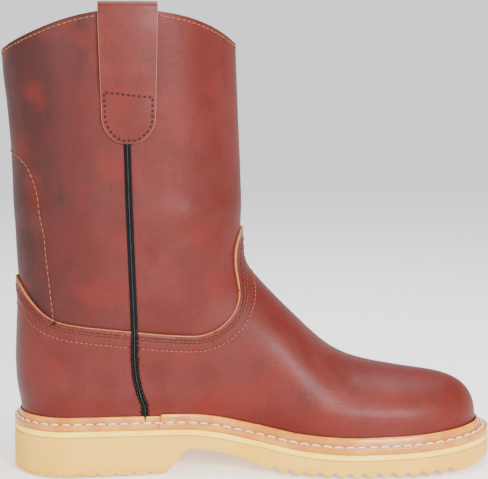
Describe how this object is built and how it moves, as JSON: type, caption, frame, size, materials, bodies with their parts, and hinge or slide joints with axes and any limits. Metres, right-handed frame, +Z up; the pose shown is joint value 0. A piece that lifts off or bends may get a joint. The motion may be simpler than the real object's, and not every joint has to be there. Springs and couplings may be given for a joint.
{
  "type": "pull-on work boot",
  "caption": "Left pull-on leather work boot with a round toe, storm welt, pull straps at both sides and a lugged sole with a block heel.",
  "frame": {"origin": "centre of the heel's tread, on the floor", "axes": "+X towards the toe, +Z up, -Y towards the inner (medial) side of the left foot"},
  "size_m": [0.3081, 0.1099, 0.2908],
  "materials": {
    "outsole_rubber": "matt beige crepe rubber",
    "midsole_rubber": "matt pale yellow rubber",
    "welt_leather": "smooth glossy tan",
    "insole_leather": "plain undyed",
    "shaft_leather": "oiled red-brown, soft sheen",
    "vamp_leather": "oiled red-brown, soft sheen",
    "strap_leather": "oiled red-brown, soft sheen",
    "piping": "black, satin"
  },
  "bodies": {
    "root": {"outsole": "outsole_rubber", "midsole": "midsole_rubber", "welt": "welt_leather", "rear_welt": "welt_leather", "insole": "insole_leather", "upper": "shaft_leather", "vamp": "vamp_leather", "heel_foxing": "vamp_leather", "medial_piping": "piping", "lateral_piping": "piping", "medial_pull_strap": "strap_leather", "lateral_pull_strap": "strap_leather"}
  },
  "joints": []
}
